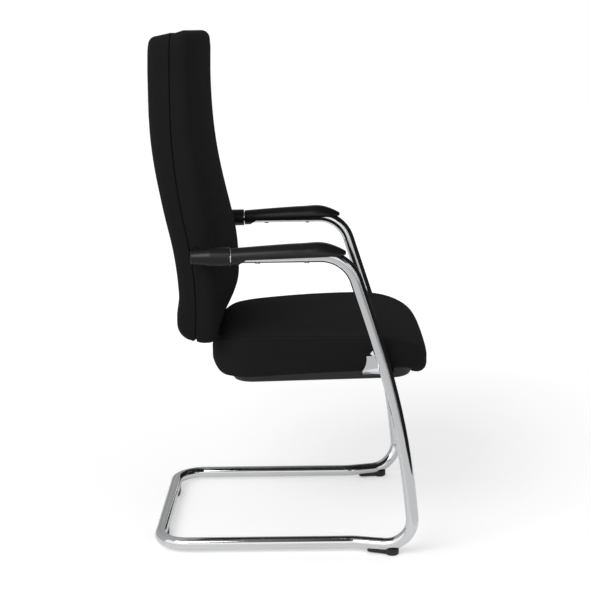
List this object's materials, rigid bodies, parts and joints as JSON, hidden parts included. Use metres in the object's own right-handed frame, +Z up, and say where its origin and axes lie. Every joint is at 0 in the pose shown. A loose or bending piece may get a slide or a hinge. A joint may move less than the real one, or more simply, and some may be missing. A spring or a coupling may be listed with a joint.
{
  "type": "visitor chair",
  "caption": "Cantilever visitor chair: bent chromed tube frame, crowned black upholstered seat, high curved back, moulded arm pads and floor glides.",
  "frame": {"origin": "on the floor, under the middle of the chair's overall depth and width", "axes": "+X is the way the sitter faces, +Y is the chair's left side, +Z is up"},
  "size_m": [0.5644, 0.593, 1.044],
  "materials": {
    "chrome": "bright polished plating",
    "steel": "zinc plated",
    "black_steel": "satin black powder coat",
    "black_plastic": "satin, lightly grained",
    "glide_plastic": "satin",
    "cover_plastic": "matt moulded",
    "upholstery": "close woven, matt black",
    "plywood": "moulded birch plywood, unfinished"
  },
  "bodies": {
    "root": {"frame_tube_right": "chrome", "frame_tube_left": "chrome", "seat_bracket_right": "chrome", "seat_bracket_left": "chrome", "frame_splice": "steel", "glide_screws": "steel", "arm_pad_screws": "steel", "stub_screws": "steel", "bar_bolts": "steel", "tee_nuts": "steel", "seat_bolts": "steel", "cover_screws": "steel", "seat_bridge": "black_steel", "back_bar": "black_steel", "back_stub_right": "black_steel", "back_stub_left": "black_steel", "arm_pad_right": "black_plastic", "arm_pad_left": "black_plastic", "arm_sleeve_right": "black_plastic", "arm_sleeve_left": "black_plastic", "glide_front_right": "glide_plastic", "glide_front_left": "glide_plastic", "glide_rear_right": "glide_plastic", "glide_rear_left": "glide_plastic", "seat_cover": "cover_plastic", "seat_cushion": "upholstery", "back_front_cushion": "upholstery", "back_rear_cushion": "upholstery", "seat_board": "plywood", "back_board": "plywood"}
  },
  "joints": []
}
